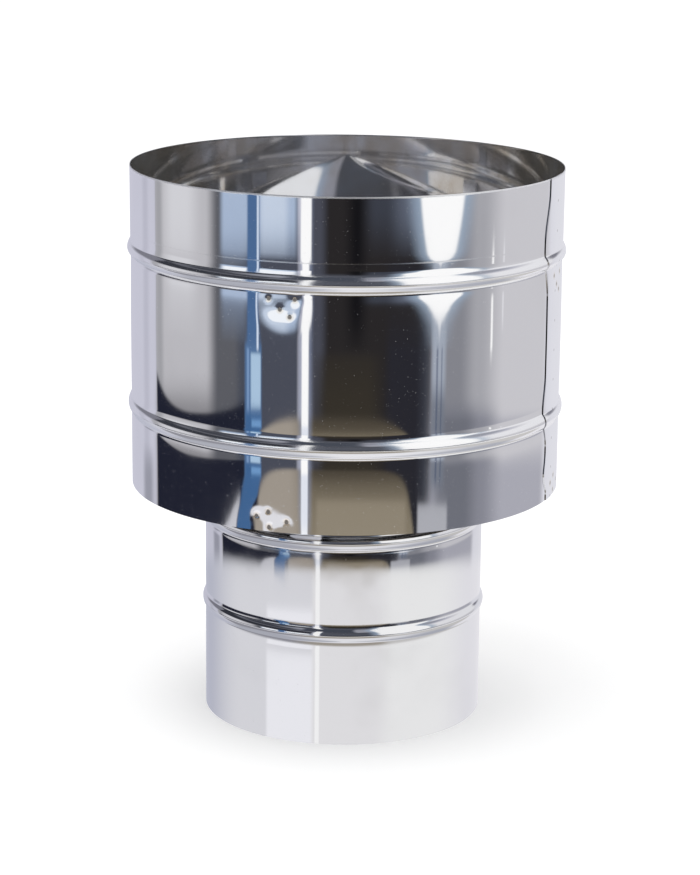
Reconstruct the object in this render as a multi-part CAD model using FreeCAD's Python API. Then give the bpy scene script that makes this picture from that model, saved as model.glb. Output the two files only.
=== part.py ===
import FreeCAD, Part
import math
import os

# Chimney cowl in thin mirror-finished stainless sheet: an inlet pipe with two rolled beads, a wider
# open shell around its top end, and a conical rain hood inside the shell. Straps spot-welded to the
# shell carry it on the pipe's flared top, and carry the hood in it.
# Millimetres. +Z is up, the flue axis is Z, and the origin is the centre of the pipe's lower edge.
# Angles are seen from above and start at the front, which is -Y, and grow towards +X.

# Sheet and strap
SHEET = 0.5
STRAP = 1.0
STRAP_WIDTH = 32.0
SEAT_CLEARANCE = 0.05

# Inlet pipe, which slips into the flue below
PIPE_OUTER_RADIUS = 100.0
PIPE_LENGTH = 168.0
PIPE_BEAD_HEIGHTS = (80.0, 146.5)
PIPE_BEAD_RISE = 2.0
PIPE_BEAD_HALF_WIDTH = 5.6

# Shell around the outlet
SHELL_OUTER_RADIUS = 152.5
SHELL_BOTTOM = 167.7
SHELL_HEIGHT = 228.3
SHELL_BEAD_HEIGHTS = (226.3, 337.6)
SHELL_BEAD_RISE = 2.2
SHELL_BEAD_HALF_WIDTH = 6.2
RIM_FLARE = 0.3
SEAM_ANGLE = 65.5
SEAM_LAP = 27.0

# Radius of the hollow at each foot of a bead
BEAD_FOOT_RADIUS = 2.2

# Flared top of the pipe
COLLAR_LENGTH = 11.0
DIFFUSER_RISE = 68.0
DIFFUSER_TOP_RADIUS = 120.0

# Conical hood
HOOD_APEX_BELOW_RIM = 35.0
HOOD_BASE_RADIUS = 128.0
HOOD_SLOPE_DEG = 22.0
HOOD_SEAM_ANGLE = 205.0
HOOD_SEAM_LAP = 12.0
HOOD_TIP_RADIUS = 4.0

# Straps: a tab welded up the shell's wall, and a leg to the piece that it carries
BEND_RADIUS = 2.5
HOOD_TAB_HEIGHT = 30.0
HOOD_LEG_LENGTH = 34.0
PIPE_TAB_HEIGHT = 20.0
PIPE_STRAP_ABOVE_EDGE = 1.3
HOOD_STRAP_ANGLES = (-16.0, 74.0, 164.0, 254.0)
PIPE_STRAP_ANGLES = (-18.5, 76.0, 163.5, 251.5)

# Worked out from the sizes above
shell_top = SHELL_BOTTOM + SHELL_HEIGHT
shell_inner_radius = SHELL_OUTER_RADIUS - SHEET
collar_bottom = PIPE_LENGTH - COLLAR_LENGTH
collar_inner_radius = PIPE_OUTER_RADIUS + SEAT_CLEARANCE
diffuser_slope = (DIFFUSER_TOP_RADIUS - collar_inner_radius - SHEET) / DIFFUSER_RISE
hood_apex = shell_top - HOOD_APEX_BELOW_RIM
hood_slope = math.tan(math.radians(HOOD_SLOPE_DEG))
hood_thickness_z = SHEET / math.cos(math.radians(HOOD_SLOPE_DEG))

# Fixed values: the flue axis, and makeOffset2D's way of joining corners
ORIGIN = FreeCAD.Vector(0, 0, 0)
AXIS = FreeCAD.Vector(0, 0, 1)
MITRED = 2


def section_point(radius, height):
    """Point of a turned section, drawn in the plane of the front, where the radius runs along +X."""
    return FreeCAD.Vector(radius, 0, height)


def place_on_angle(shape, angle):
    """Turn a shape drawn at +X about the flue axis to the given angle from the front."""
    turned = shape.copy()
    turned.rotate(ORIGIN, AXIS, angle - 90.0)
    return turned


def line(start, end):
    return Part.LineSegment(start, end).toShape()


def arc(start, middle, end):
    return Part.Arc(start, middle, end).toShape()


def bead_edges(radius, height, rise, half_width):
    """Outer skin of a rolled bead, from its lower foot to its upper one: hollow, crown, hollow."""
    turn = 2.0 * math.atan(rise / half_width)
    foot_in = BEAD_FOOT_RADIUS * (1.0 - math.cos(turn))
    foot_up = BEAD_FOOT_RADIUS * math.sin(turn)
    half_in = BEAD_FOOT_RADIUS * (1.0 - math.cos(turn / 2.0))
    half_up = BEAD_FOOT_RADIUS * math.sin(turn / 2.0)
    low = height - half_width
    high = height + half_width
    crown_low = section_point(radius + foot_in, low + foot_up)
    crown_high = section_point(radius + foot_in, high - foot_up)
    crown_top = section_point(radius + rise, height)
    return [
        arc(section_point(radius, low), section_point(radius + half_in, low + half_up), crown_low),
        arc(crown_low, crown_top, crown_high),
        arc(crown_high, section_point(radius + half_in, high - half_up), section_point(radius, high)),
    ]


def beaded_skin(radius, bottom, top, bead_heights, rise, half_width, top_radius):
    """Outer skin of a beaded tube, from bottom to top, as one wire in section."""
    edges = []
    below = section_point(radius, bottom)
    for height in bead_heights:
        edges.append(line(below, section_point(radius, height - half_width)))
        edges.extend(bead_edges(radius, height, rise, half_width))
        below = section_point(radius, height + half_width)
    edges.append(line(below, section_point(top_radius, top)))
    return Part.Wire(edges)


def sheet_face(skin, thickness):
    """Section of a sheet whose metal lies inside its outer skin, which is drawn upwards."""
    return skin.makeOffset2D(thickness, MITRED, True, True, False)


def turned_solid(face, degrees=360.0):
    return face.revolve(ORIGIN, AXIS, degrees)


def closed_face(points):
    return Part.Face(Part.makePolygon(points + [points[0]]))


def inlet_pipe():
    """Butt-welded tube with a stop bead and a stiffening bead."""
    skin = beaded_skin(PIPE_OUTER_RADIUS, 0.0, PIPE_LENGTH, PIPE_BEAD_HEIGHTS,
                       PIPE_BEAD_RISE, PIPE_BEAD_HALF_WIDTH, PIPE_OUTER_RADIUS)
    return turned_solid(sheet_face(skin, SHEET))


def outer_shell():
    """One rolled sheet whose outer end laps over its inner end along the seam.

    The half turn that ends in the lap is rolled about a centre half a step off the axis, so that it
    leaves the other half smoothly and arrives one sheet further out.
    """
    rim_radius = SHELL_OUTER_RADIUS + RIM_FLARE
    skin = beaded_skin(SHELL_OUTER_RADIUS, SHELL_BOTTOM, shell_top, SHELL_BEAD_HEIGHTS,
                       SHELL_BEAD_RISE, SHELL_BEAD_HALF_WIDTH, rim_radius)
    back = place_on_angle(sheet_face(skin, SHEET), SEAM_ANGLE + 180.0)
    lap_degrees = math.degrees(SEAM_LAP / SHELL_OUTER_RADIUS)
    inner_turn = back.revolve(ORIGIN, AXIS, 180.0 + lap_degrees)
    shift = (SHEET + SEAT_CLEARANCE) / 2.0
    lap_centre = place_on_angle(Part.Vertex(section_point(shift, 0.0)), SEAM_ANGLE).Point
    outer_turn = back.revolve(lap_centre, AXIS, -180.0)
    return inner_turn.fuse(outer_turn).removeSplitter()


def diffuser_cone():
    """Collar lapped over the pipe's top end, opening into a flare."""
    outer = collar_inner_radius + SHEET
    top = PIPE_LENGTH + DIFFUSER_RISE
    skin = Part.Wire([
        line(section_point(outer, collar_bottom), section_point(outer, PIPE_LENGTH)),
        line(section_point(outer, PIPE_LENGTH), section_point(DIFFUSER_TOP_RADIUS, top)),
    ])
    return turned_solid(sheet_face(skin, SHEET))


def hood_height(radius):
    """Height of the hood's upper side at a radius."""
    return hood_apex - radius * hood_slope


def hood_cone():
    """Rolled cone with a lap seam that runs from the tip to the edge."""
    edge = hood_height(HOOD_BASE_RADIUS)
    cone = turned_solid(closed_face([
        section_point(0.0, hood_apex),
        section_point(HOOD_BASE_RADIUS, edge),
        section_point(HOOD_BASE_RADIUS, edge - hood_thickness_z),
        section_point(0.0, hood_apex - hood_thickness_z),
    ]))
    lap_face = closed_face([
        section_point(HOOD_TIP_RADIUS, hood_height(HOOD_TIP_RADIUS) - hood_thickness_z),
        section_point(HOOD_TIP_RADIUS, hood_height(HOOD_TIP_RADIUS) + hood_thickness_z),
        section_point(HOOD_BASE_RADIUS, edge + hood_thickness_z),
        section_point(HOOD_BASE_RADIUS, edge - hood_thickness_z),
    ])
    lap_degrees = math.degrees(HOOD_SEAM_LAP / HOOD_BASE_RADIUS)
    lap = place_on_angle(lap_face, HOOD_SEAM_ANGLE).revolve(ORIGIN, AXIS, lap_degrees)
    return cone.fuse(lap).removeSplitter()


def bent_skin(corners):
    """Outer skin of a bent strap: straight runs joined by round bends at the inner corners."""
    edges = []
    begin = corners[0]
    for before, corner, after in zip(corners, corners[1:], corners[2:]):
        back = (before - corner).normalize()
        onward = (after - corner).normalize()
        half_angle = back.getAngle(onward) / 2.0
        setback = BEND_RADIUS / math.tan(half_angle)
        middle = (back + onward).normalize()
        reach = BEND_RADIUS / math.sin(half_angle) - BEND_RADIUS
        edges.append(line(begin, corner + back * setback))
        edges.append(arc(corner + back * setback, corner + middle * reach, corner + onward * setback))
        begin = corner + onward * setback
    edges.append(line(begin, corners[-1]))
    return Part.Wire(edges)


def strap(corners, angle):
    """Bent strap that follows the round walls it is welded to, cut to its width."""
    swept = turned_solid(sheet_face(bent_skin(corners), STRAP))
    low = min(corner.z for corner in corners) - STRAP
    high = max(corner.z for corner in corners) + STRAP
    slot = Part.makeBox(SHELL_OUTER_RADIUS, STRAP_WIDTH, high - low,
                        FreeCAD.Vector(0.0, -STRAP_WIDTH / 2.0, low))
    return place_on_angle(swept.common(slot), angle)


def hood_strap(angle):
    """Leg under the hood's edge, bent up into a tab on the shell's wall."""
    wall = shell_inner_radius - SEAT_CLEARANCE
    under = hood_thickness_z + SEAT_CLEARANCE + STRAP / math.cos(math.radians(HOOD_SLOPE_DEG))
    leg_end = HOOD_BASE_RADIUS - HOOD_LEG_LENGTH
    bend = hood_height(wall) - under
    return strap([
        section_point(leg_end, hood_height(leg_end) - under),
        section_point(wall, bend),
        section_point(wall, bend + HOOD_TAB_HEIGHT),
    ], angle)


def pipe_strap(angle):
    """Tab on the shell's wall, level leg across the gap, and a tab up the flare of the pipe."""
    wall = shell_inner_radius - SEAT_CLEARANCE
    level = SHELL_BOTTOM + PIPE_STRAP_ABOVE_EDGE
    flare_start = collar_inner_radius + SHEET + SEAT_CLEARANCE
    flare_low = flare_start + (level - PIPE_LENGTH) * diffuser_slope
    flare_high = flare_low + PIPE_TAB_HEIGHT * diffuser_slope
    return strap([
        section_point(flare_high, level + PIPE_TAB_HEIGHT),
        section_point(flare_low, level),
        section_point(wall, level),
        section_point(wall, level + PIPE_TAB_HEIGHT),
    ], angle)


pieces = {
    "inlet_pipe": inlet_pipe(),
    "outer_shell": outer_shell(),
    "diffuser_cone": diffuser_cone(),
    "hood_cone": hood_cone(),
}
for number, angle in enumerate(HOOD_STRAP_ANGLES, start=1):
    pieces["hood_strap_" + str(number)] = hood_strap(angle)
for number, angle in enumerate(PIPE_STRAP_ANGLES, start=1):
    pieces["pipe_strap_" + str(number)] = pipe_strap(angle)

os.makedirs("parts", exist_ok=True)
for name, solid in pieces.items():
    solid.exportStep("parts/" + name + ".step")
    print(name, len(solid.Solids), solid.isValid(), round(solid.Volume, 1))
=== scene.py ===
# %% [markdown]
# # Chimney cowl in mirror-finished steel sheet
# The cowl is a pipe with two rolled beads, a wider beaded shell around its flared top, and a cone
# inside the shell that keeps rain out. Everything is thin stainless sheet, so what we see is mostly
# the studio around it. The lesson has three parts: the sheet pieces, their finish, and the studio
# that the metal mirrors. We start from the packed CAD frame, which gives every size and place.

import math

import bpy
from mathutils import Matrix, Vector
from mathutils.kdtree import KDTree


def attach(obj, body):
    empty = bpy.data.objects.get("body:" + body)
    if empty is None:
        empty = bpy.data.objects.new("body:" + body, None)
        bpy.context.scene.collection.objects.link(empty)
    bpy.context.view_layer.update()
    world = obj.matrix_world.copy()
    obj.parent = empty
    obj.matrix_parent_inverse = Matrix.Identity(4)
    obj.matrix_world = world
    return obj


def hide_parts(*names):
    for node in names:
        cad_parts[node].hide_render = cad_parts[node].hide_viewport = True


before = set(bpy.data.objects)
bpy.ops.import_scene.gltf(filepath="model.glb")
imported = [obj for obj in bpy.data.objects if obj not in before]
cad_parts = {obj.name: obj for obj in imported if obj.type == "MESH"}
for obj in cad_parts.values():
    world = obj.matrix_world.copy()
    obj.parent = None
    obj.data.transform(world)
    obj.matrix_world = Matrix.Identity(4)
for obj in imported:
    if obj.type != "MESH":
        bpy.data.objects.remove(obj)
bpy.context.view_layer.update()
MM = 0.001
print("nodes:", sorted(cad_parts))

# %% [markdown]
# ## Sizes
# These are the CAD model's own sizes, in millimetres. Angles are seen from above, start at the
# front, and grow towards the right hand. A new piece lies in the space of the node it stands for,
# and differs from it only in what a smooth mirror needs: many more faces, and the small draw-in
# and dents that rolling and welding leave in a thin wall.

# %% Sizes
SHEET = 0.5
SEAT = 0.05
PIPE_RADIUS = 100.0
PIPE_TOP = 168.0
PIPE_BEADS = (80.0, 146.5)
PIPE_BEAD = (2.0, 5.6)
SHELL_RADIUS = 152.5
SHELL_BOTTOM = 167.7
SHELL_TOP = 396.0
SHELL_BEADS = (226.3, 337.6)
SHELL_BEAD = (2.2, 6.2)
BEAD_FOOT = 2.2
SEAM_ANGLE = 65.5
SEAM_LAP_DEG = 10.15
FLARE_TOP = (120.0, 236.0)
COLLAR_BOTTOM = 157.0
HOOD_APEX = 361.0
HOOD_RADIUS = 128.0
HOOD_ANGLE = math.radians(22.0)
HOOD_SLOPE = math.tan(HOOD_ANGLE)
HOOD_SEAM_ANGLE = 205.0
HOOD_LAP_DEG = 5.4
UPPER_WELDS = (-16.0, 74.0, 164.0, 254.0)
LOWER_WELDS = (-18.5, 76.0, 163.5, 251.5)


def outward(angle):
    """Level direction that points away from the flue axis at an angle from the front."""
    turn = math.radians(angle)
    return Vector((math.sin(turn), -math.cos(turn), 0.0))


def place(angle, radius, height):
    """Point in metres, from millimetres round the flue axis."""
    return (outward(angle) * radius + Vector((0.0, 0.0, height))) * MM


print("shell radius to bead crown, mm:", SHELL_RADIUS + SHELL_BEAD[0])

# %% [markdown]
# ## Drawing a section
# Every sheet piece is a section turned about the axis. A section is drawn as by hand: a small
# plane is merged to one vertex, and the vertex is extruded from station to station. A rolled bead
# has a hollow foot, a round crown and a second foot, so its stations come from three arcs. Next to
# a bead the rolls pull the wall in by a fraction of a millimetre. It is too little to see as a
# shape, but a mirror bends its picture there, so the stations carry it.

# %% Stations of a beaded wall
HAIR = 0.001


def drawn_in(height, draws):
    """How far the wall is drawn in at a height. A draw has a foot, a side, a depth and a length."""
    total = 0.0
    for foot, side, depth, length in draws:
        away = side * (height - foot) / length
        if away > -HAIR:
            total += depth * math.exp(-away)
    return total


def bead_stations(radius, height, rise, half_width, draws, steps=6):
    """Radius and height along one bead, from foot to foot, between the drawn-in walls."""
    turn = 2.0 * math.atan(rise / half_width)
    crown = half_width / math.sin(turn) - BEAD_FOOT
    foot_steps = steps // 2
    stations = []
    for step in range(foot_steps + 1):
        part = turn * step / foot_steps
        stations.append((BEAD_FOOT * (1.0 - math.cos(part)), BEAD_FOOT * math.sin(part)))
    for step in range(1, 2 * steps):
        part = -turn + turn * step / steps
        stations.append((rise - crown * (1.0 - math.cos(part)),
                         half_width + crown * math.sin(part)))
    stations += [(out, 2.0 * half_width - up) for out, up in reversed(stations[:foot_steps + 1])]
    low = drawn_in(height - half_width, draws)
    high = drawn_in(height + half_width, draws)
    placed = []
    for out, up in stations:
        drawn = low + (high - low) * up / (2.0 * half_width)
        placed.append((radius + out - drawn * (1.0 - out / rise), height - half_width + up))
    return placed


def cone_in(height, foot, depth, length):
    """Extra drawing in below a foot: a straight cone that ends at a length."""
    share = min(1.0, max(0.0, (foot - height) / length))
    return depth * (1.0 - share) if height <= foot else 0.0


def wall_stations(radius, start, end, draws, spacing):
    """Radius and height up a plain wall, with its drawing in."""
    count = max(2, math.ceil((end - start) / spacing))
    heights = [start + (end - start) * step / count for step in range(count + 1)]
    return [(radius - drawn_in(height, draws), height) for height in heights]


print("stations on a shell bead:", len(bead_stations(SHELL_RADIUS, 0.0, *SHELL_BEAD, [])))


# %% [markdown]
# ## Helpers for modelling
# These do what a hand does in edit mode: draw a section, spin it, pick vertices by their place,
# and give the finished skin its wall. Doubled vertices are merged before the normals are set, and
# the normals are set before the skin gets its wall, or the wall would grow the wrong way.

# %% Modelling helpers
DOUBLES = 0.00002
ON_LINE = 0.02
SMOOTH_BELOW = math.radians(40.0)


def only(obj):
    """Make one object the only one selected, and active."""
    bpy.ops.object.select_all(action="DESELECT")
    obj.select_set(True)
    bpy.context.view_layer.objects.active = obj


def draw_section(name, stations, angle):
    """Object with one chain of edges through the stations, left in edit mode and selected."""
    bpy.ops.object.select_all(action="DESELECT")
    first = place(angle, stations[0][0], stations[0][1])
    bpy.ops.mesh.primitive_plane_add(size=MM, location=first)
    obj = bpy.context.active_object
    obj.name = name
    bpy.ops.object.transform_apply(location=True, rotation=True, scale=True)
    bpy.ops.object.mode_set(mode="EDIT")
    bpy.ops.mesh.select_mode(type="VERT")
    bpy.ops.mesh.select_all(action="SELECT")
    bpy.ops.mesh.merge(type="CENTER")
    for before, after in zip(stations, stations[1:]):
        move = place(angle, *after) - place(angle, *before)
        bpy.ops.mesh.extrude_region_move(TRANSFORM_OT_translate={"value": move})
    bpy.ops.mesh.select_all(action="SELECT")
    return obj


def turn_section(sectors, centre=(0.0, 0.0, 0.0)):
    """Spin the selected chain through sectors, each up to a half turn, as degrees and faces."""
    for degrees, faces in sectors:
        bpy.ops.mesh.spin(steps=faces, angle=math.radians(degrees), center=centre,
                          axis=(0.0, 0.0, -1.0))


def full_turn(faces):
    """Sectors of a whole turn, with the faces of each half."""
    return [(180.0, faces), (180.0, faces)]


def pick(obj, test):
    """Select only the vertices that pass a test of their place, in millimetres."""
    bpy.ops.object.mode_set(mode="EDIT")
    bpy.ops.mesh.select_all(action="DESELECT")
    bpy.ops.object.mode_set(mode="OBJECT")
    for vertex in obj.data.vertices:
        vertex.select = test(vertex.co / MM)
    bpy.ops.object.mode_set(mode="EDIT")


def merge_doubles():
    """Merge vertices that lie on each other, in the whole mesh."""
    bpy.ops.mesh.select_all(action="SELECT")
    bpy.ops.mesh.remove_doubles(threshold=DOUBLES)


def on_ray(p, way):
    """True where a place lies straight out from the flue axis in a level direction."""
    return abs(p.x * way.y - p.y * way.x) < ON_LINE and p.dot(way) > 0.0


def finish_sheet(obj, thickness=SHEET, inner_slot=0, side=-1.0):
    """Merge doubles, turn the skin outwards, and give it its wall: inwards, or to both sides."""
    bpy.ops.object.mode_set(mode="EDIT")
    merge_doubles()
    bpy.ops.mesh.normals_make_consistent(inside=False)
    bpy.ops.object.mode_set(mode="OBJECT")
    only(obj)
    wall = obj.modifiers.new("wall", "SOLIDIFY")
    wall.thickness = thickness * MM
    wall.offset = side
    wall.use_even_offset = True
    wall.material_offset = inner_slot
    bpy.ops.object.modifier_apply(modifier=wall.name)
    bpy.ops.object.shade_smooth_by_angle(angle=SMOOTH_BELOW)
    print(obj.name, "faces:", len(obj.data.polygons))


print("doubles are merged within, mm:", DOUBLES / MM)

# %% [markdown]
# ## Inlet pipe
# The pipe is turned in one go. Upper edges are deburred, so the last fraction of a millimetre turns
# in a hair, which gives the thin bright line that a cut sheet edge has. Lower edges stay square.

# %% Inlet pipe
DEBURRED = ((0.0, 0.7), (0.02, 0.3), (0.09, 0.0))  # how far in, and how far below the edge
LOWER_EDGE_ROOM = 2.0
UPPER_EDGE_ROOM = 1.5
CLOSE_ROWS = 30.0


def edge_up(radius, height):
    """Stations of a deburred upper edge."""
    return [(radius - inwards, height - below) for inwards, below in DEBURRED]


def beaded_wall(radius, bottom, top, beads, bead, draws, spacings):
    """Stations of a whole beaded tube, from its lower edge to its upper one. The spacings are for
    the wall below the lower bead, between the beads, close under the upper bead, and above it."""
    rise, half_width = bead
    low, high = beads
    below_high = high - half_width - CLOSE_ROWS
    first = bottom + LOWER_EDGE_ROOM
    stations = [(radius, bottom)]
    stations += wall_stations(radius, first, low - half_width, draws, spacings[0])
    stations += bead_stations(radius, low, rise, half_width, draws)[1:-1]
    stations += wall_stations(radius, low + half_width, below_high, draws, spacings[1])
    stations += wall_stations(radius, below_high, high - half_width, draws, spacings[2])[1:]
    stations += bead_stations(radius, high, rise, half_width, draws)[1:-1]
    last = top - UPPER_EDGE_ROOM
    stations += wall_stations(radius, high + half_width, last, draws, spacings[3])
    stations += edge_up(radius, top)
    return stations


PIPE_DRAWS = [
    # foot, side, depth, length
    (PIPE_BEADS[0] - PIPE_BEAD[1], -1.0, 0.1, 6.0),
    (PIPE_BEADS[0] + PIPE_BEAD[1], 1.0, 0.16, 7.0),
    (PIPE_BEADS[1] - PIPE_BEAD[1], -1.0, 0.36, 3.6),
    (PIPE_BEADS[1] + PIPE_BEAD[1], 1.0, 0.2, 7.0),
]
PIPE_SPACINGS = (6.0, 4.0, 2.0, 2.0)
pipe_section = beaded_wall(PIPE_RADIUS, 0.0, PIPE_TOP, PIPE_BEADS, PIPE_BEAD, PIPE_DRAWS,
                           PIPE_SPACINGS)
pipe = draw_section("pipe_sheet_metal", pipe_section, 180.0)
turn_section(full_turn(144))
finish_sheet(pipe)

# %% [markdown]
# ## Outer shell
# The shell is one sheet rolled past a full turn, so its end lies over its beginning. Half of it
# turns about the flue axis and goes on under the lap. The other half turns about a centre that is
# half a step off the axis, so it leaves the first half smoothly and arrives one sheet further out.
# The faces are narrow near the spot welds, where dents come later, and wider elsewhere. The upper
# bead was rolled harder than the lower one: the wall below it is drawn in as a long cone, and above
# it the wall widens up to a faint crease.

# %% Outer shell skin
SHELL_DRAWS = [
    # foot, side, depth, length
    (SHELL_BEADS[0] - SHELL_BEAD[1], -1.0, 0.15, 6.0),
    (SHELL_BEADS[0] + SHELL_BEAD[1], 1.0, 0.12, 8.0),
    (SHELL_BEADS[1] - SHELL_BEAD[1], -1.0, 0.07, 2.5),
]
SHELL_SPACINGS = (1.8, 4.0, 1.6, 3.5)
CONE_DEPTH = 0.32
CONE_LENGTH = 40.0
CREASE_HEIGHT = 351.7
CREASE_STEP = 0.05
RIM_STEP = 0.1
FLANK_SHARE = 0.74
FLANK_POWER = 3.0
AT_FOOT = 0.01
# sectors as degrees and faces: first on under the lap, then back the other way
FIRST_HALF = [(11.5, 20), (73.0, 58), (23.0, 46), (67.0, 54), (5.5 + SEAM_LAP_DEG, 28)]
SECOND_HALF = [(-6.5, 10), (-68.5, 55), (-14.0, 28), (-75.5, 60), (-15.5, 28)]


def crease(station):
    """Draw the wall in under the upper bead, and widen it up to the faint crease and at the rim."""
    radius, height = station
    radius -= cone_in(height, SHELL_BEADS[1] - SHELL_BEAD[1], CONE_DEPTH, CONE_LENGTH)
    start = SHELL_BEADS[1] + SHELL_BEAD[1]
    out = min(1.0, max(0.0, (height - start) / (CREASE_HEIGHT - start)))
    rim = max(0.0, (height - CREASE_HEIGHT) / (SHELL_TOP - CREASE_HEIGHT))
    return radius + CREASE_STEP * out + RIM_STEP * rim * rim, height


def lower_flank(station):
    """Shorten the upper bead's lower flank, and lead it down to the wall that is drawn in."""
    radius, height = station
    centre, half_width = SHELL_BEADS[1], SHELL_BEAD[1]
    if not centre - half_width - AT_FOOT < height < centre:
        return station
    share = (centre - height) / half_width
    drawn = CONE_DEPTH * share ** FLANK_POWER if height > centre - half_width + AT_FOOT else 0.0
    return radius - drawn, centre - (centre - height) * FLANK_SHARE


shell_section = beaded_wall(SHELL_RADIUS, SHELL_BOTTOM, SHELL_TOP, SHELL_BEADS, SHELL_BEAD,
                            SHELL_DRAWS, SHELL_SPACINGS)
shell_section = [lower_flank(crease(station)) for station in shell_section]
start_angle = SEAM_ANGLE + 180.0
shell = draw_section("shell_sheet_metal", shell_section, start_angle)
turn_section(FIRST_HALF)
pick(shell, lambda p: on_ray(p, outward(start_angle)))
half_step = outward(SEAM_ANGLE) * (SHEET + SEAT) * 0.5 * MM
turn_section(SECOND_HALF, centre=half_step)
merge_doubles()
bpy.ops.object.mode_set(mode="OBJECT")
print("shell skin:", len(shell.data.vertices), "vertices, box", shell.dimensions)

# %% [markdown]
# The lap's cut edge isn't quite straight. At a few heights we pick the edge alone and turn it a
# little about the flue axis, and the sheet near it follows with proportional falloff. The lower
# corner has sprung off the wall, so it is also pulled out.

# %% Uneven lap edge
# waves of the cut edge: height, degrees, reach
SEAM_WAVES = ((350.0, -2.6, 34.0), (233.0, -1.2, 22.0), (205.0, 1.4, 24.0), (170.0, 2.6, 16.0))
EDGE_GRIP = 4.0
LAP_STEP = 0.3
lap_way = outward(SEAM_ANGLE)


def inner_level(height):
    """Radius of the shell's first turn at a height, from its section."""
    return min(shell_section, key=lambda station: abs(station[1] - height))[0]


def on_lap_edge(p, height, reach):
    """True on the cut edge of the outer sheet near a height."""
    level = math.hypot(p.x, p.y)
    if abs(height - p.z) >= reach or level <= SHELL_RADIUS - SHEET / 2.0:
        return False
    return on_ray(p, lap_way) and level > inner_level(p.z) + LAP_STEP


only(shell)
for height, degrees, reach in SEAM_WAVES:
    pick(shell, lambda p: on_lap_edge(p, height, EDGE_GRIP))
    bpy.ops.transform.rotate(value=math.radians(-degrees), orient_axis="Z",
                             center_override=(0.0, 0.0, 0.0), use_proportional_edit=True,
                             proportional_edit_falloff="SMOOTH", proportional_size=reach * MM)
bpy.ops.object.mode_set(mode="OBJECT")
waved = [vertex.co for vertex in shell.data.vertices
         if abs(vertex.co.z / MM - SEAM_WAVES[0][0]) < EDGE_GRIP / 2.0]
turned = [math.degrees(math.atan2(p.x, -p.y)) for p in waved]
print("lap edge near its upper wave, degrees:",
      min(round(angle, 2) for angle in turned if abs(angle - SEAM_ANGLE) < 4.0))

# %% [markdown]
# ## Weld dents
# Four spot welds fix each strap to the wall. Every weld leaves a small pit, and the group pulls
# the wall in around it, which bends the mirror picture over a hand's width. The upper groups have
# pressed a flat patch into the wall. The lower ones sit near the sheet's edge, which gives way more
# sharply. Each pull moves a few vertices with proportional falloff, as with the O key by hand. A
# search tree finds the vertices. Places in a group are along the wall from its middle, and up.

# %% Weld places
UPPER_PATTERN = ((-9.0, 326.7), (-1.2, 319.7), (9.0, 327.0), (5.7, 315.1))
LOWER_PATTERN = ((-10.7, 177.8), (-2.1, 181.7), (10.8, 175.5), (-1.6, 170.9))
FLAT_CORNER = (-4.5, 320.5)
FLAT_STEPS = 10
FLAT_ROW = 1.6
UPPER_FLAT = [(FLAT_CORNER[0] + step, FLAT_CORNER[1] + FLAT_ROW * row)
              for row in range(FLAT_STEPS) for step in range(FLAT_STEPS)]
HALF_DEGREE = math.radians(0.5) * SHELL_RADIUS
UPPER_PULLS = (
    # places in the group, depth, reach, falloff
    ([(HALF_DEGREE, 324.0)], 0.16, 24.0, "SMOOTH"),
    (UPPER_FLAT, 0.17, 9.5, "SMOOTH"),
    ([(9.5, 326.0)], 0.1, 7.0, "SMOOTH"),
    (UPPER_PATTERN, 0.1, 2.5, "SMOOTH"),
)
LOWER_PULLS = (
    ([(-2.0 * HALF_DEGREE, 168.0)], 0.32, 25.0, "SHARP"),
    ([(-9.0, 176.0), (9.0, 172.0)], 0.08, 9.0, "SMOOTH"),
    (LOWER_PATTERN, 0.1, 2.5, "SMOOTH"),
)


def weld_places(angle, pattern):
    """Each weld of one group, as angle and height."""
    return [(angle + math.degrees(along / SHELL_RADIUS), height) for along, height in pattern]


print("welds in a group:", len(weld_places(UPPER_WELDS[0], UPPER_PATTERN)))


# %% Pulling the dents
wall_tree = KDTree(len(shell.data.vertices))
for vertex in shell.data.vertices:
    wall_tree.insert(vertex.co, vertex.index)
wall_tree.balance()


def pull(obj, places, way, depth, reach, falloff):
    """Pull the wall in at places by one depth, fading to nothing over the reach."""
    bpy.ops.object.mode_set(mode="EDIT")
    bpy.ops.mesh.select_all(action="DESELECT")
    bpy.ops.object.mode_set(mode="OBJECT")
    for angle, height in places:
        nearest = wall_tree.find(place(angle, SHELL_RADIUS, height))[1]
        obj.data.vertices[nearest].select = True
    bpy.ops.object.mode_set(mode="EDIT")
    bpy.ops.transform.translate(value=way * -depth * MM, use_proportional_edit=True,
                                proportional_edit_falloff=falloff, proportional_size=reach * MM)


only(shell)
for welds, pulls in ((UPPER_WELDS, UPPER_PULLS), (LOWER_WELDS, LOWER_PULLS)):
    for angle in welds:
        for pattern, depth, reach, falloff in pulls:
            pull(shell, weld_places(angle, pattern), outward(angle), depth, reach, falloff)
bpy.ops.object.mode_set(mode="OBJECT")
for slot in range(2):
    shell.data.materials.append(None)
finish_sheet(shell, inner_slot=1)

# %% [markdown]
# ## Flare and hood
# Both are cones. The flare has a short collar over the pipe's end. The hood closes at its tip, and
# its sheet laps over itself along one line, which is a strip of the same sheet laid on it.

# %% Flare on the pipe
BEND_OUT = 0.06
BEND_BELOW = 0.6


def straight(start, end, count):
    """Stations on a straight run, the first left out."""
    return [(start[0] + (end[0] - start[0]) * step / count,
             start[1] + (end[1] - start[1]) * step / count) for step in range(1, count + 1)]


collar = PIPE_RADIUS + SEAT + SHEET
bend_foot = (collar, PIPE_TOP - BEND_BELOW)
bend_end = (collar + BEND_OUT, PIPE_TOP)
flare_section = [(collar, COLLAR_BOTTOM)]
flare_section += straight((collar, COLLAR_BOTTOM), bend_foot, 4)
flare_section += [bend_end] + straight(bend_end, FLARE_TOP, 16)
cone = draw_section("flare_sheet_metal", flare_section, 180.0)
turn_section(full_turn(90))
finish_sheet(cone)

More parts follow.
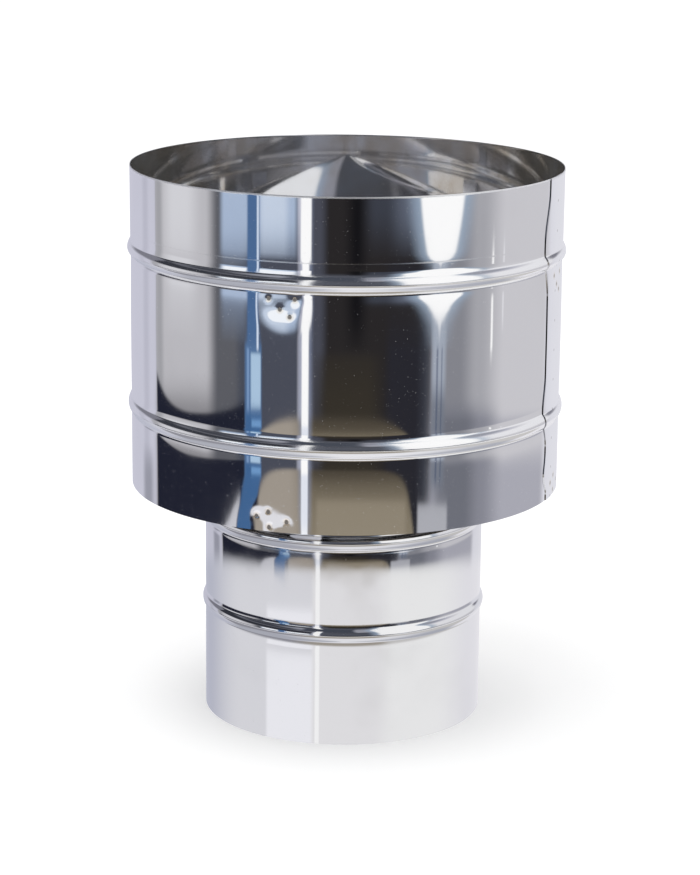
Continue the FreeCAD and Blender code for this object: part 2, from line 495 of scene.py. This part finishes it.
# %% Rain hood
HOOD_ROWS = 28
TIP_RADIUS = 2.0
TIP_HEIGHT = 0.4
LAP_START = 4.0


def hood_point(radius, lift=0.0):
    """Place on the hood's skin at a radius, lifted a little for the lap."""
    return (radius, HOOD_APEX - radius * HOOD_SLOPE + lift)


def hood_run(start, lift=0.0):
    """Stations down the hood from a radius to its edge."""
    first = hood_point(start, lift)
    return [first] + straight(first, hood_point(HOOD_RADIUS, lift), HOOD_ROWS)


hood = draw_section("hood_sheet_metal", hood_run(TIP_RADIUS), HOOD_SEAM_ANGLE)
turn_section(full_turn(128))
merge_doubles()
pick(hood, lambda p: math.hypot(p.x, p.y) < TIP_RADIUS + 0.1)
bpy.ops.mesh.extrude_region_move(TRANSFORM_OT_translate={"value": (0.0, 0.0, TIP_HEIGHT * MM)})
bpy.ops.mesh.merge(type="CENTER")
finish_sheet(hood)

lap_lift = (SHEET + SEAT) / math.cos(HOOD_ANGLE)
lap = draw_section("hood_lap", hood_run(LAP_START, lap_lift), HOOD_SEAM_ANGLE)
turn_section([(HOOD_LAP_DEG, 6)])
finish_sheet(lap)
only(hood)
lap.select_set(True)
bpy.context.view_layer.objects.active = hood
bpy.ops.object.join()
print("hood box, mm:", [round(side / MM, 1) for side in hood.dimensions])

# %% [markdown]
# ## Straps
# A strap is a bent section through its sheet's middle, turned through a few degrees and cut to
# width by two planes. The tab on the wall sits a little further in than on the plain CAD wall,
# because the welds draw the wall in there. The upper straps reach under the hood, and the lower
# ones stand on the flare.

# %% Straps
STRAP = 1.0
STRAP_HALF_WIDTH = 16.0
STRAP_TURN = 22.0
BEND = 3.0
BEND_STEPS = 6
WELD_ROOM = 0.65
UNDER_HOOD = (SHEET + 0.5 * STRAP) / math.cos(HOOD_ANGLE) + SEAT
TAB_RADIUS = SHELL_RADIUS - SHEET - SEAT - WELD_ROOM - STRAP / 2.0
HOOD_LEG_START = 94.0
HOOD_TAB = 30.0
ABOVE_EDGE = 1.3
PIPE_TAB = 19.5


def bent(corners):
    """Stations along straight runs with a round bend at each inner corner."""
    stations = [corners[0]]
    for before, corner, after in zip(corners, corners[1:], corners[2:]):
        here = Vector(corner)
        back = (Vector(before) - here).normalized()
        onward = (Vector(after) - here).normalized()
        half = back.angle(onward) / 2.0
        middle = here + (back + onward).normalized() * BEND / math.sin(half)
        start = here + back * BEND / math.tan(half) - middle
        finish = here + onward * BEND / math.tan(half) - middle
        for step in range(BEND_STEPS + 1):
            stations.append(tuple(middle + start.slerp(finish, step / BEND_STEPS)))
    return stations + [corners[-1]]


def strap_piece(name, corners, angle):
    """Strap bent along the corners, centred on an angle from the front."""
    strap = draw_section(name, bent(corners), angle - STRAP_TURN / 2.0)
    turn_section([(STRAP_TURN, 22)])
    merge_doubles()
    for side in (-1.0, 1.0):
        across = outward(angle + 90.0) * side
        bpy.ops.mesh.select_all(action="SELECT")
        bpy.ops.mesh.bisect(plane_co=across * STRAP_HALF_WIDTH * MM, plane_no=across,
                            clear_outer=True)
    finish_sheet(strap, thickness=STRAP, side=0.0)
    return strap


def hood_leg(radius):
    """Place on the strap's middle under the hood at a radius."""
    return (radius, HOOD_APEX - radius * HOOD_SLOPE - UNDER_HOOD)


tab_foot = hood_leg(TAB_RADIUS)
hood_corners = [hood_leg(HOOD_LEG_START), tab_foot, (TAB_RADIUS, tab_foot[1] + HOOD_TAB)]
flare_slope = (FLARE_TOP[0] - collar) / (FLARE_TOP[1] - PIPE_TOP)
level = SHELL_BOTTOM + ABOVE_EDGE + STRAP / 2.0
flare_radius = collar + SEAT + STRAP / 2.0 + (level - PIPE_TOP) * flare_slope
pipe_corners = [(flare_radius + PIPE_TAB * flare_slope, level + PIPE_TAB), (flare_radius, level),
                (TAB_RADIUS, level), (TAB_RADIUS, level + PIPE_TAB)]
straps = {}
for kind, corners, welds in (("hood_strap_", hood_corners, UPPER_WELDS),
                             ("pipe_strap_", pipe_corners, LOWER_WELDS)):
    for number, angle in enumerate(welds, start=1):
        strap = strap_piece(kind + "steel_" + str(number), corners, angle)
        straps[kind + str(number)] = strap
print("straps:", sorted(straps))

# %% [markdown]
# ## Shader wiring
# A finish is written as arithmetic on node sockets. The class below wraps a socket, so that
# `1 - mask` or `noise * 0.2` adds the Math nodes. Colours go through Mix nodes instead, because a
# Math node turns a colour grey.


# %% Sockets with arithmetic
class Signal:
    """One output socket, with arithmetic that adds Math nodes."""

    def __init__(self, wiring, socket):
        self.wiring = wiring
        self.socket = socket

    def math(self, operation, *others):
        return self.wiring.node("ShaderNodeMath", {"operation": operation},
                                dict(enumerate((self,) + others)))

    def __add__(self, other):
        return self.math("ADD", other)

    def __sub__(self, other):
        return self.math("SUBTRACT", other)

    def __rsub__(self, other):
        return self.math("MULTIPLY", -1.0) + other

    def __mul__(self, other):
        return self.math("MULTIPLY", other)

    def __truediv__(self, other):
        return self.math("DIVIDE", other)

    __radd__ = __add__
    __rmul__ = __mul__

    def ramp(self, low, high):
        """0 below low, 1 above high, and smooth between; falling if high is below low."""
        start, end = (0.0, 1.0) if low < high else (1.0, 0.0)
        return self.wiring.node("ShaderNodeMapRange", {"interpolation_type": "SMOOTHSTEP"},
                                {0: self, 1: min(low, high), 2: max(low, high), 3: start, 4: end})

    def band(self, low, high, soft):
        """1 between low and high, fading over soft at both ends."""
        return self.ramp(low - soft, low + soft) * self.ramp(high + soft, high - soft)


class Wiring:
    """Adds nodes to one node tree."""

    def __init__(self, tree):
        self.tree = tree
        tree.nodes.clear()

    def node(self, kind, settings=None, inputs=None, output=0):
        """New node with its settings first, then its sockets; gives one output."""
        made = self.tree.nodes.new(kind)
        for name, value in (settings or {}).items():
            setattr(made, name, value)
        for name, value in (inputs or {}).items():
            if isinstance(value, Signal):
                self.tree.links.new(value.socket, made.inputs[name])
            else:
                made.inputs[name].default_value = value
        return Signal(self, made.outputs[output]) if made.outputs else None

    def mix(self, factor, first, second):
        """Colour that goes from first to second with the factor."""
        def colour(value):
            return value if isinstance(value, Signal) else (*value, 1.0)
        return self.node("ShaderNodeMix", {"data_type": "RGBA"},
                         {0: factor, 6: colour(first), 7: colour(second)}, output=2)

    def spot(self, *signals):
        """Vector from three signals or numbers."""
        return self.node("ShaderNodeCombineXYZ", None, dict(enumerate(signals)))

    def parts(self, vector):
        """The three parts of a vector, each as a signal."""
        apart = self.node("ShaderNodeSeparateXYZ", None, {0: vector}).socket.node
        return [Signal(self, socket) for socket in apart.outputs]

    def noise(self, vector, scale, detail, roughness):
        """Cloudy pattern from 0 to 1."""
        return self.node("ShaderNodeTexNoise", None,
                         {"Vector": vector, "Scale": scale, "Detail": detail,
                          "Roughness": roughness})


def bearing(x, y):
    """Degrees round from the front, from the two level parts of a place."""
    return x.math("ARCTAN2", y * -1.0) * math.degrees(1.0)


print("a wiring can add:", [name for name in vars(Wiring) if not name.startswith("_")])

# %% [markdown]
# ## Mirror steel
# The real metal is bright rolled sheet: nearly a mirror, with fine vertical grain from rolling,
# broad smudges from hands that only change how sharp it mirrors, a few short scratches, and at
# each spot weld a dark pit with a straw-coloured heat ring. The patterns follow the wall, so the
# place is first turned into an angle round the wall and a height.


# %% Marks of the welds and the seam
def wall_place(wiring):
    """Angle round the wall in degrees, height in millimetres, and the place itself."""
    point = wiring.node("ShaderNodeTexCoord", None, None, output="Object")
    x, y, z = wiring.parts(point)
    return bearing(x, y), z / MM, point


def lower_offset(angle):
    """How many degrees the lower weld group nearest to an angle stands off the upper one."""
    offsets = [low - high for low, high in zip(LOWER_WELDS, UPPER_WELDS)]
    offset = offsets[0]
    for test, edge, before, after in (("GREATER_THAN", 27.5, 0, 1), ("GREATER_THAN", 117.5, 1, 2),
                                      ("LESS_THAN", -62.5, 0, 3), ("LESS_THAN", -152.5, 3, 2)):
        offset = angle.math(test, edge) * (offsets[after] - offsets[before]) + offset
    return offset


PIT_EDGE = (1.8, 0.9)
RING_EDGE = (3.4, 1.8)


def weld_marks(angle, height):
    """Pit and heat ring of the spot welds, as two masks. The groups repeat every quarter turn."""
    pits = None
    rings = None
    for shift, pattern in ((0.0, UPPER_PATTERN), (lower_offset(angle), LOWER_PATTERN)):
        turn = (angle - UPPER_WELDS[0] - shift).math("WRAP", 45.0, -45.0)
        along = turn * math.radians(SHELL_RADIUS)
        for weld_along, weld_height in pattern:
            across = along - weld_along
            up = height - weld_height
            reach = (across * across + up * up).math("SQRT")
            pit = reach.ramp(*PIT_EDGE)
            ring = reach.ramp(*RING_EDGE)
            pits = pit if pits is None else pits.math("MAXIMUM", pit)
            rings = ring if rings is None else rings.math("MAXIMUM", ring)
    return pits, rings


SEAM_GAP = (-0.22, 0.06)
SEAM_ROW = 6.3
SEAM_WELD_HEIGHT = 315.8
SEAM_WELD_STEP = 21.0


def seam_marks(angle, height):
    """Painted shade and dirt in the lap's gap, and the row of small welds that holds the lap."""
    wave = 0.0
    for middle, degrees, reach in SEAM_WAVES:
        wave = (height - middle).math("ABSOLUTE").ramp(reach, 0.0) * degrees + wave
    gap = (angle - wave).band(SEAM_ANGLE + SEAM_GAP[0], SEAM_ANGLE + SEAM_GAP[1], 0.12)
    along = (angle - SEAM_ANGLE - SEAM_ROW) * math.radians(SHELL_RADIUS)
    up = (height - SEAM_WELD_HEIGHT).math("WRAP", SEAM_WELD_STEP / 2.0, -SEAM_WELD_STEP / 2.0)
    away = (along * along + up * up).math("SQRT")
    return gap, away.ramp(1.4, 0.5)


print("waves of the seam in the finish:", len(SEAM_WAVES))

# %% Steel finish
HEAT_STRAW = (0.78, 0.64, 0.42)
PIT_BROWN = (0.2, 0.17, 0.14)
GAP_SHADE_AND_DIRT = (0.15, 0.15, 0.18)
STAIN_WARM = (0.60, 0.54, 0.46)
SCRATCH_GLINT_PALE = (0.95, 0.93, 0.88)
BUMP_DISTANCE = 0.00002


def steel(name, colour, rough, grain, smudge, shell_skin=False, stain_and_glint=0.0, metal=1.0):
    """Bright steel with rolling grain, smudges, scratches and specks."""
    material = bpy.data.materials.new(name)
    material.use_nodes = True
    w = Wiring(material.node_tree)
    angle, height, point = wall_place(w)
    # the grain is fine round the wall, and its height is squeezed so that it runs long upwards
    along_grain = w.spot(angle, height * 0.012, 0.0)
    grain_noise = w.noise(along_grain, scale=1.6, detail=6.0, roughness=0.7)
    smudges = w.noise(point, scale=14.0, detail=3.0, roughness=0.55).ramp(0.5, 0.72)
    # only the peaks of a slanted noise are kept, which leaves a few short scratches
    slanted = w.spot(angle * 0.9 + height * 0.25, height * 0.9, 3.0)
    scratches = w.noise(slanted, scale=0.9, detail=4.0, roughness=0.8).ramp(0.67, 0.74)
    specks = w.noise(point, scale=1300.0, detail=1.0, roughness=0.5).ramp(0.76, 0.8)
    tint = w.mix(smudges * 0.35, colour, [channel * 0.93 for channel in colour])
    roughness = smudges * smudge + grain_noise * grain + scratches * 0.06 + specks * 0.3 + rough
    bump_height = grain_noise * 0.15 + scratches * 0.4
    # this share adds real warm stains, and also a painted glint that lightens the scratches
    if stain_and_glint:
        warm = w.noise(point, scale=9.0, detail=4.0, roughness=0.6).ramp(0.62, 0.44) * stain_and_glint
        tint = w.mix(warm, tint, STAIN_WARM)
        # painted glint: the scratches are lightened in colour, as if they caught the studio lights
        tint = w.mix(scratches * stain_and_glint, tint, SCRATCH_GLINT_PALE)
    if shell_skin:
        pits, rings = weld_marks(angle, height)
        gap, small = seam_marks(angle, height)
        tint = w.mix(rings * 0.35, tint, HEAT_STRAW)
        tint = w.mix(pits.math("MAXIMUM", small * 0.6) * 0.8, tint, PIT_BROWN)
        # painted shade, with some dirt: the gap beside the lap's edge is darkened in colour
        tint = w.mix(gap * 0.7, tint, GAP_SHADE_AND_DIRT)
        # the crease, the cut edge and the crowns of the beads mirror less sharply
        line = (height - CREASE_HEIGHT).math("ABSOLUTE").ramp(0.7, 0.2)
        edge = height.ramp(SHELL_TOP - 1.6, SHELL_TOP - 0.6)
        lower = (height - SHELL_BEADS[0]).math("ABSOLUTE").ramp(7.5, 5.5)
        upper = (height - SHELL_BEADS[1]).math("ABSOLUTE").ramp(7.5, 5.5)
        roughness = roughness + pits * 0.25 + line * 0.1 + edge * 0.45 + (lower + upper) * 0.09
        bump_height = bump_height - pits * 3.0
    bump = w.node("ShaderNodeBump", None,
                  {"Height": bump_height, "Distance": BUMP_DISTANCE, "Strength": 0.35})
    shader = w.node("ShaderNodeBsdfPrincipled", None,
                    {"Base Color": tint, "Metallic": metal, "Roughness": roughness, "Normal": bump})
    w.node("ShaderNodeOutputMaterial", None, {"Surface": shader})
    return material


def dress(obj, material):
    """Give an object one material for all its faces."""
    obj.data.materials.clear()
    obj.data.materials.append(material)


shell_steel = steel("shell_mirror_steel", (0.95, 0.95, 0.955), rough=0.022, grain=0.014,
                    smudge=0.015, shell_skin=True)
shell_inside = steel("shell_inner_steel", (0.80, 0.81, 0.83), rough=0.035, grain=0.02,
                     smudge=0.04, stain_and_glint=0.7, metal=0.94)
pipe_steel = steel("pipe_bright_steel", (0.86, 0.86, 0.87), rough=0.028, grain=0.025, smudge=0.05)
hood_steel = steel("hood_mirror_steel", (0.90, 0.90, 0.91), rough=0.05, grain=0.03, smudge=0.05)
strap_steel = steel("strap_bright_steel", (0.84, 0.84, 0.86), rough=0.14, grain=0.08, smudge=0.1)
shell.data.materials[0] = shell_steel
shell.data.materials[1] = shell_inside
dress(pipe, pipe_steel)
dress(cone, pipe_steel)
dress(hood, hood_steel)
for strap in straps.values():
    dress(strap, strap_steel)
print("finishes:", [material.name for material in bpy.data.materials])

# %% [markdown]
# ## Where each piece belongs
# Nothing on the cowl moves, so every piece rides on the one body.

# %% Pieces on the frame
for piece, node, slot in ((pipe, "inlet_pipe", "pipe_sheet"), (shell, "outer_shell", "shell_sheet"),
                          (cone, "diffuser_cone", "pipe_sheet"), (hood, "hood_cone", "hood_sheet")):
    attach(piece, "root")
    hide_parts(node)
for node, piece in straps.items():
    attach(piece, "root")
    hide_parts(node)
print("pieces ride on the body root")

# %% [markdown]
# ## Floor
# The floor is a pale matt sheet that takes the cowl's soft shadow. The metal doesn't mirror it. It
# mirrors the white table that is painted into the studio below.


# %% Floor
FLOOR_RADIUS = 32.0
FLOOR_WHITE = (0.9, 0.9, 0.9, 1.0)
CAMERA_GLOW = 0.24


def floor_paint():
    """Pale matt paint, a little lighter to the camera."""
    material = bpy.data.materials.new("pale_floor")
    material.use_nodes = True
    w = Wiring(material.node_tree)
    to_camera = w.node("ShaderNodeLightPath", None, None, output="Is Camera Ray")
    matt = w.node("ShaderNodeBsdfDiffuse", None, {"Color": FLOOR_WHITE})
    glow = w.node("ShaderNodeEmission", None,
                  {"Color": (1.0, 1.0, 1.0, 1.0), "Strength": to_camera * CAMERA_GLOW})
    both = w.node("ShaderNodeAddShader", None, {0: matt, 1: glow})
    w.node("ShaderNodeOutputMaterial", None, {"Surface": both})
    return material


bpy.ops.object.select_all(action="DESELECT")
bpy.ops.mesh.primitive_circle_add(vertices=128, radius=FLOOR_RADIUS, fill_type="NGON")
floor = bpy.context.active_object
floor.name = "studio_floor"
floor.visible_glossy = False
dress(floor, floor_paint())
print("floor out to, m:", FLOOR_RADIUS)

# %% [markdown]
# ## Studio around the cowl
# Mirror steel has no look of its own: it needs walls, flags and light panels to mirror. They are
# painted into the world, for reflections alone, as a list of cards. Each card has a colour, a span
# round the cowl and a span up and down, both in degrees and with soft edges. Later cards hang in
# front of earlier ones. A wall that stands upright mirrors only a narrow belt, from 9 to 20 degrees
# below the horizon, so most cards end there, and the beads and the inside of the shell mirror the
# rest. The world mixes two backgrounds: the cards for rays that come off metal, and plain white for
# the camera and for matt surfaces, which then cost no time on cards.

# %% Card colours
MIRROR = 0.95


def seen(red, green, blue):
    """Card colour from the screen values, 0 to 255, that it should have in the mirror."""
    return tuple(min(1.0, (value / 255.0) ** 2.2 / MIRROR) for value in (red, green, blue))


CARDS = [
    # from, to, soft, low, high, soft, colour
    (-230.0, 230.0, 1.0, 31.0, 54.0, 5.0, seen(148, 150, 160)),
    (-230.0, 230.0, 1.0, 54.0, 91.0, 5.0, seen(98, 100, 110)),
    (-230.0, -119.5, 0.8, 6.0, 29.0, 4.0, seen(120, 120, 130)),
    (134.0, 230.0, 0.8, 6.0, 29.0, 4.0, seen(120, 120, 130)),
    (-136.0, -129.0, 3.0, -91.0, 7.0, 3.0, seen(182, 182, 196)),
    (-137.0, -125.0, 4.0, -91.0, -14.3, 0.5, seen(150, 151, 163)),
    (-119.5, -40.0, 8.0, 31.0, 46.0, 5.0, seen(60, 62, 70)),
    (-119.5, -25.0, 0.8, -91.0, 31.0, 5.0, seen(52, 54, 61)),
    (-119.5, -57.0, 0.8, -91.0, 7.0, 3.0, seen(183, 182, 187)),
    (-119.5, -113.0, 2.5, -91.0, 7.0, 3.0, seen(158, 158, 163)),
    (-109.0, -86.0, 7.0, -10.4, 7.0, 1.2, seen(206, 206, 211)),
    (-119.5, -60.0, 5.0, -91.0, -13.1, 0.6, seen(140, 139, 143)),
    (-74.5, -44.0, 4.5, -91.0, 7.0, 3.0, seen(92, 93, 99)),
    (-58.0, -24.0, 3.0, -91.0, -9.9, 0.5, seen(74, 78, 89)),
    (-68.0, -53.0, 3.0, -10.8, -9.2, 0.6, seen(112, 122, 140)),
    (-68.0, -25.5, 2.0, -10.1, 4.0, 0.45, seen(164, 180, 205)),
    (-45.0, -30.5, 2.5, -10.0, 4.0, 0.45, seen(192, 204, 222)),
    (-67.0, -26.0, 2.0, -8.8, 4.0, 0.3, seen(238, 242, 248)),
    (-18.5, 46.0, 4.0, -91.0, 34.0, 3.0, seen(45, 43, 44)),
    (-19.0, -11.0, 3.0, -14.2, 34.0, 3.0, seen(74, 76, 86)),
    (10.0, 38.0, 6.0, -9.9, 7.0, 0.4, seen(62, 65, 74)),
    (26.0, 40.0, 6.0, -9.9, 7.0, 0.4, seen(92, 98, 112)),
    (-40.0, 12.0, 3.0, 33.0, 70.0, 4.0, seen(68, 72, 82)),
    (-24.0, 37.0, 8.0, -6.0, 30.0, 3.0, seen(80, 83, 92)),
    (2.0, 9.0, 5.0, -11.0, -6.0, 0.8, seen(25, 25, 28)),
    (-45.0, -26.0, 1.5, -14.6, -10.5, 0.4, seen(74, 77, 88)),
    (-13.0, 17.0, 6.0, -14.6, -12.2, 1.4, seen(56, 52, 46)),
    (22.0, 42.0, 3.0, -16.6, -10.8, 0.8, seen(44, 44, 50)),
    (40.0, 47.0, 3.0, -15.4, -10.3, 0.6, seen(56, 58, 66)),
    (58.0, 134.0, 4.0, -91.0, 28.0, 3.0, seen(196, 195, 200)),
    (50.0, 84.0, 9.0, -91.0, -5.0, 1.0, seen(162, 162, 168)),
    (50.0, 68.0, 6.0, -91.0, -8.5, 1.0, seen(130, 131, 138)),
    (58.0, 134.0, 5.0, -91.0, -14.1, 0.6, seen(166, 166, 176)),
    (50.0, 86.0, 9.0, -91.0, -13.6, 0.6, seen(132, 133, 143)),
    (50.0, 72.0, 6.0, -91.0, -13.6, 0.6, seen(108, 110, 119)),
    (63.0, 134.0, 4.0, -5.0, 25.0, 4.0, seen(226, 226, 230)),
    (82.4, 83.7, 0.6, -12.1, -10.0, 0.4, seen(252, 252, 252)),
    (90.5, 91.3, 0.6, -10.9, -9.9, 0.3, seen(225, 225, 230)),
]
BLUE_STRIP = [
    (-52.5, -45.5, 0.8, -11.4, 7.0, 0.3, seen(76, 104, 144)),
    (-53.8, -44.4, 0.8, -16.6, -11.2, 0.3, seen(84, 112, 150)),
    (-50.4, -44.8, 0.5, -13.5, -12.0, 0.15, seen(166, 192, 217)),
    (-52.6, -51.4, 0.5, -13.6, -11.6, 0.2, seen(122, 150, 190)),
    (-53.5, -44.6, 0.8, -16.6, -13.7, 0.2, seen(66, 99, 142)),
    (-50.0, -44.6, 0.6, -14.5, -14.0, 0.15, seen(110, 150, 196)),
    (-47.0, -46.0, 0.4, -11.7, 2.0, 0.3, seen(208, 220, 238)),
]
print("cards in the studio:", len(CARDS) + len(BLUE_STRIP))


# %% Floor, board and table of the studio
def hang(wiring, colour, mask, card_colour):
    """Put a card in front of what hangs already."""
    return wiring.mix(mask, colour, card_colour)


def hang_cards(wiring, colour, cards, angle, rise):
    """Put a list of cards in front, in their order."""
    for start, end, soft, low, high, blur, card_colour in cards:
        mask = angle.band(start, end, soft) * rise.band(low, high, blur)
        colour = hang(wiring, colour, mask, card_colour)
    return colour


BOARD_LEVEL = -13.85
BELOW_TABLE = (-21.0, -23.0)


def floor_patches(w, colour, angle, rise):
    """The dark floor at the left, the board in front and the pale table near the cowl."""
    left = (-88.0 - angle).math("MAXIMUM", 0.0)
    right = (angle + 88.0).math("MAXIMUM", 0.0)
    edge = left * left * 0.00122 + right * right * 0.00045 + BOARD_LEVEL
    navy = angle.band(-119.5, -45.0, 1.0) * (rise - edge).ramp(0.12, -0.12)
    colour = hang(w, colour, navy, seen(37, 39, 51))
    side = ((angle + 5.0) / 40.0).math("MAXIMUM", (angle + 5.0) / -42.0)
    corner = side.math("POWER", 6.0) * -1.5 + BOARD_LEVEL
    board = (rise - corner).ramp(0.3, -0.3) * angle.band(-46.0, 39.5, 1.2)
    shade = w.mix(rise.ramp(-14.1, -15.9), seen(78, 72, 63), seen(128, 119, 103))
    shade = w.mix(angle.ramp(-14.0, -30.0), shade, seen(155, 147, 137))
    near = rise.ramp(-15.2, -15.35) * angle.band(-14.0, 33.0, 1.5)
    shade = w.mix(near, shade, seen(140, 131, 115))
    colour = hang(w, colour, board, shade)
    paper = angle.band(39.5, 56.5, 1.0) * rise.ramp(-15.3, -15.4)
    colour = hang(w, colour, paper, seen(168, 169, 176))
    table = w.mix(angle.ramp(-150.0, -92.0), seen(182, 184, 198), seen(218, 218, 223))
    table = w.mix(angle.ramp(-68.0, -64.0) * rise.ramp(-17.6, -18.6), table, seen(240, 240, 245))
    table = w.mix(angle.ramp(-27.0, -23.0), table, seen(229, 228, 230))
    table = w.mix(angle.ramp(25.0, 45.0), table, seen(238, 238, 238))
    table = w.mix(angle.ramp(80.0, 134.0), table, seen(228, 227, 232))
    colour = hang(w, colour, rise.ramp(-16.2, -16.8), table)
    below = w.mix(angle.ramp(-50.0, -20.0), seen(142, 142, 150), seen(156, 150, 141))
    below = w.mix(angle.ramp(30.0, 45.0), below, seen(196, 194, 193))
    colour = hang(w, colour, angle.band(-119.5, 134.0, 1.0) * rise.ramp(*BELOW_TABLE), below)
    under = w.mix(angle.band(-40.0, 80.0, 40.0), seen(170, 172, 182), seen(228, 228, 232))
    return hang(w, colour, rise.ramp(-36.0, -46.0), under)


print("the board begins at, degrees:", BOARD_LEVEL)


# %% Light panels of the studio
def window_panel(w, colour, angle, rise):
    """The tall window at the right, with its tapering foot and the glow round it."""
    up = (rise + 10.7).math("MAXIMUM", 0.0)
    tip = rise.ramp(-11.2, -10.6)
    half = (1.0 - (up * -1.15).math("EXPONENT")) * 14.2 + tip + rise.ramp(-8.7, -6.5) * 7.0 + 0.01
    middle = up.math("MINIMUM", 2.5) * 0.6 + 50.2
    away = (angle - middle).math("ABSOLUTE")
    glow = (away - half).ramp(10.0, 0.0) * rise.band(-10.9, 55.0, 0.9)
    colour = hang(w, colour, glow * 0.85, seen(150, 166, 186))
    window = (away / half).ramp(1.1, 0.92) * rise.band(-11.2, 52.0, 0.1)
    return hang(w, colour, window, (1.0, 1.0, 1.0))


def blue_strip(w, colour, angle, rise):
    """The blue strip at the left, which leans near its foot, and the pale flap beside it."""
    strip = angle + (rise + 14.6).math("MINIMUM", 0.0).math("MAXIMUM", -1.3) * -3.6
    colour = hang_cards(w, colour, BLUE_STRIP, strip, rise)
    width = (rise + 15.15) * -10.0
    flap = (strip + width + 54.6).ramp(-0.3, 0.3) * strip.ramp(-54.0, -54.6)
    return hang(w, colour, flap * rise.band(-16.6, -15.15, 0.1), seen(196, 196, 203))


def narrow_panels(w, colour, angle, rise):
    """The grey streak under the window with its two dark lines, and the thin white panel."""
    streak = angle.band(46.4, 54.0, 1.5) * rise.band(-14.9, -10.7, 0.3)
    shade = w.mix(rise.ramp(-12.6, -13.4), seen(158, 166, 180), seen(112, 118, 130))
    colour = hang(w, colour, streak * 0.85, shade)
    lines = angle.band(48.8, 49.8, 0.4) + angle.band(51.6, 52.2, 0.4)
    colour = hang(w, colour, lines * rise.band(-14.8, -11.4, 0.3) * 0.6, seen(70, 80, 104))
    halo = angle.band(-23.6, -17.4, 1.6) * rise.band(-16.0, 40.0, 0.6)
    colour = hang(w, colour, halo * 0.5, seen(130, 142, 170))
    panel = angle.band(-22.5, -18.9, 0.5) + angle.band(-23.4, -17.8, 0.5) * rise.ramp(-10.9, -10.2)
    panel = panel.math("MINIMUM", 1.0) * rise.band(-21.5, 40.0, 0.3)
    white = w.mix(rise.band(-16.0, -14.3, 0.2), (1.0, 1.0, 1.0), seen(222, 226, 236))
    return hang(w, colour, panel, white)


print("pieces in the blue strip:", len(BLUE_STRIP))


# %% World with its cards
def studio_world():
    """World that mirrors a studio, and is plain white otherwise."""
    world = bpy.data.worlds.new("studio")
    world.use_nodes = True
    bpy.context.scene.world = world
    w = Wiring(world.node_tree)
    x, y, z = w.parts(w.node("ShaderNodeTexCoord", None, None, output="Generated"))
    angle = bearing(x, y)
    rise = z.math("ARCSINE") * math.degrees(1.0)
    colour = w.mix(angle.ramp(100.0, 150.0), seen(194, 194, 208), seen(218, 218, 225))
    colour = hang_cards(w, colour, CARDS, angle, rise)
    for paint in (floor_patches, window_panel, blue_strip, narrow_panels):
        colour = paint(w, colour, angle, rise)
    gloss = w.node("ShaderNodeLightPath", None, None, output="Is Glossy Ray")
    camera_ray = w.node("ShaderNodeLightPath", None, None, output="Is Camera Ray")
    plain = w.node("ShaderNodeBackground", None,
                   {"Color": (1.0, 1.0, 1.0, 1.0), "Strength": camera_ray * 0.06 + 0.94})
    mirrored = w.node("ShaderNodeBackground", None, {"Color": colour, "Strength": 1.0})
    both = w.node("ShaderNodeMixShader", None, {0: gloss, 1: plain, 2: mirrored})
    w.node("ShaderNodeOutputWorld", None, {"Surface": both})
    return world


print("nodes in the world:", len(studio_world().node_tree.nodes))

# %% [markdown]
# ## Lamp and camera
# One broad lamp overhead gives the floor its soft shadow. It isn't mirrored, because the studio's
# panels are. The camera looks slightly down from the front, with a long lens, and leans a hair.

# %% Lamp and camera
LAMP_PLACE = Vector((-0.4, -0.5, 2.2))
LAMP_AIM = Vector((0.0, 0.0, 0.1))
lamp = bpy.data.lights.new("overhead_softbox", "AREA")
lamp.shape = "DISK"
lamp.size = 1.6
lamp.energy = 9.0
lamp_object = bpy.data.objects.new("overhead_softbox", lamp)
lamp_object.location = LAMP_PLACE
lamp_object.rotation_euler = (LAMP_PLACE - LAMP_AIM).to_track_quat("Z", "Y").to_euler()
lamp_object.visible_glossy = False
bpy.context.scene.collection.objects.link(lamp_object)

FOCAL_PIXELS = 2711.0
IMAGE_WIDTH = 700.0
CAMERA_PLACE = (0.00397, -1.8954, 0.669)
LOOK_DOWN = 13.97
LEAN = 0.582
camera = bpy.data.cameras.new("camera")
camera.sensor_fit = "HORIZONTAL"
camera.sensor_width = 36.0
camera.lens = camera.sensor_width * FOCAL_PIXELS / IMAGE_WIDTH
camera_object = bpy.data.objects.new("camera", camera)
bpy.context.scene.collection.objects.link(camera_object)
camera_object.matrix_world = (Matrix.Translation(CAMERA_PLACE)
                              @ Matrix.Rotation(math.radians(90.0 - LOOK_DOWN), 4, "X")
                              @ Matrix.Rotation(math.radians(LEAN), 4, "Z"))
bpy.context.scene.camera = camera_object
bpy.context.scene.view_settings.view_transform = "Standard"
print("lens, mm:", round(camera.lens, 1))
